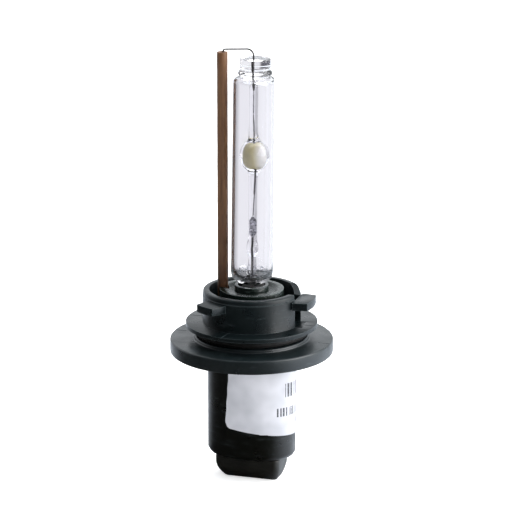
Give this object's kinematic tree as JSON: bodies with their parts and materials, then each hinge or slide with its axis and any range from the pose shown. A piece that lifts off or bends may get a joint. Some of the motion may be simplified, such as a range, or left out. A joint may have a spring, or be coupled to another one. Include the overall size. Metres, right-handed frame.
{
  "type": "headlight bulb",
  "caption": "Discharge headlight bulb: clear quartz burner with a side return tube, standing in a black flanged plastic cap with bayonet lugs and a sealing ring.",
  "frame": {"origin": "centre of the rear end face of the cable gland, under the bulb's axis", "axes": "+Z along the bulb's axis towards the glass tip, +X towards the bayonet lug that bridges the collar's slot, return tube on -X"},
  "size_m": [0.0366, 0.0366, 0.0983],
  "materials": {
    "black_plastic": "satin moulded, fine texture",
    "gland_plastic": "satin moulded",
    "holder_plastic": "semi-gloss moulded",
    "ring_rubber": "matte",
    "quartz": "clear, fire polished",
    "ceramic_tube": "unglazed, fine grain",
    "cement": "rough",
    "tungsten": "dark, drawn",
    "molybdenum": "bright, drawn",
    "salts": "powdery",
    "tinned_brass": "satin",
    "potting": "matte silicone",
    "label_paper": null
  },
  "bodies": {
    "root": {"outer_quartz_envelope": "quartz", "arc_tube": "quartz", "upper_electrode": "tungsten", "lower_electrode": "tungsten", "upper_foil": "molybdenum", "lower_foil": "molybdenum", "halide_salts": "salts", "upper_lead_wire": "molybdenum", "lower_lead_wire": "molybdenum", "return_wire": "molybdenum", "ceramic_return_tube": "ceramic_tube", "return_tube_cement": "cement", "burner_cement": "cement", "burner_holder": "holder_plastic", "front_collar": "black_plastic", "sealing_o_ring": "ring_rubber", "rear_housing": "black_plastic", "housing_label": "label_paper", "cable_gland": "gland_plastic", "lamp_crimp": "tinned_brass", "return_crimp": "tinned_brass", "insulating_potting": "potting"}
  },
  "joints": []
}
